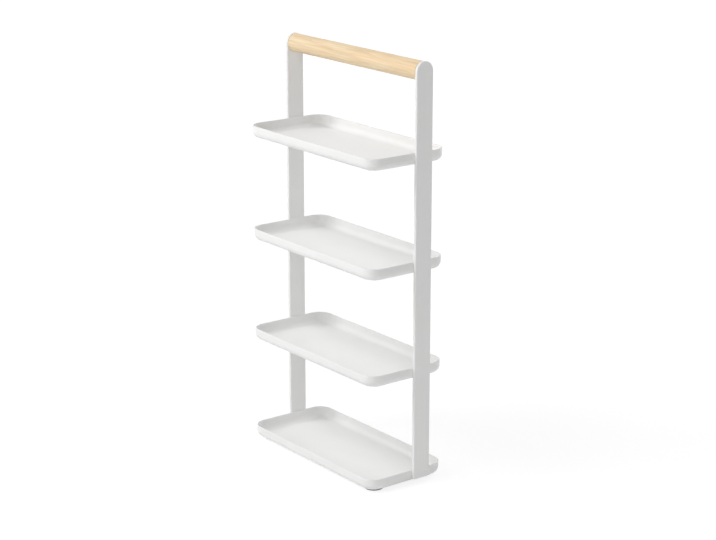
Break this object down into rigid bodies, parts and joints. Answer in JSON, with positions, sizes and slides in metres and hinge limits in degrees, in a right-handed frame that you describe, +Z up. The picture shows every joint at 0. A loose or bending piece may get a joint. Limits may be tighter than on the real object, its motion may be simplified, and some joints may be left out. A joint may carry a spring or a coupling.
{
  "type": "accessory stand",
  "caption": "Free-standing tiered accessory stand: shallow round-cornered steel trays held between flat strap uprights, with a round wooden carrying handle across the top.",
  "frame": {"origin": "on the table, under the middle of the trays", "axes": "+X along the handle, +Y towards the back, to which the uprights are set off, +Z up"},
  "size_m": [0.185, 0.081, 0.3683],
  "materials": {
    "white_coat": "white satin powder coat with a fine texture",
    "pale_wood": "pale straight-grained hardwood, clear matt lacquer",
    "pin_steel": "plain steel, with the outer end coated over",
    "foot_rubber": "matt dark rubber"
  },
  "bodies": {
    "root": {"bottom_tray": "white_coat", "second_tray": "white_coat", "third_tray": "white_coat", "top_tray": "white_coat", "left_upright": "white_coat", "right_upright": "white_coat", "handle": "pale_wood", "left_handle_pin": "pin_steel", "right_handle_pin": "pin_steel", "front_left_foot": "foot_rubber", "front_right_foot": "foot_rubber", "back_left_foot": "foot_rubber", "back_right_foot": "foot_rubber"}
  },
  "joints": []
}
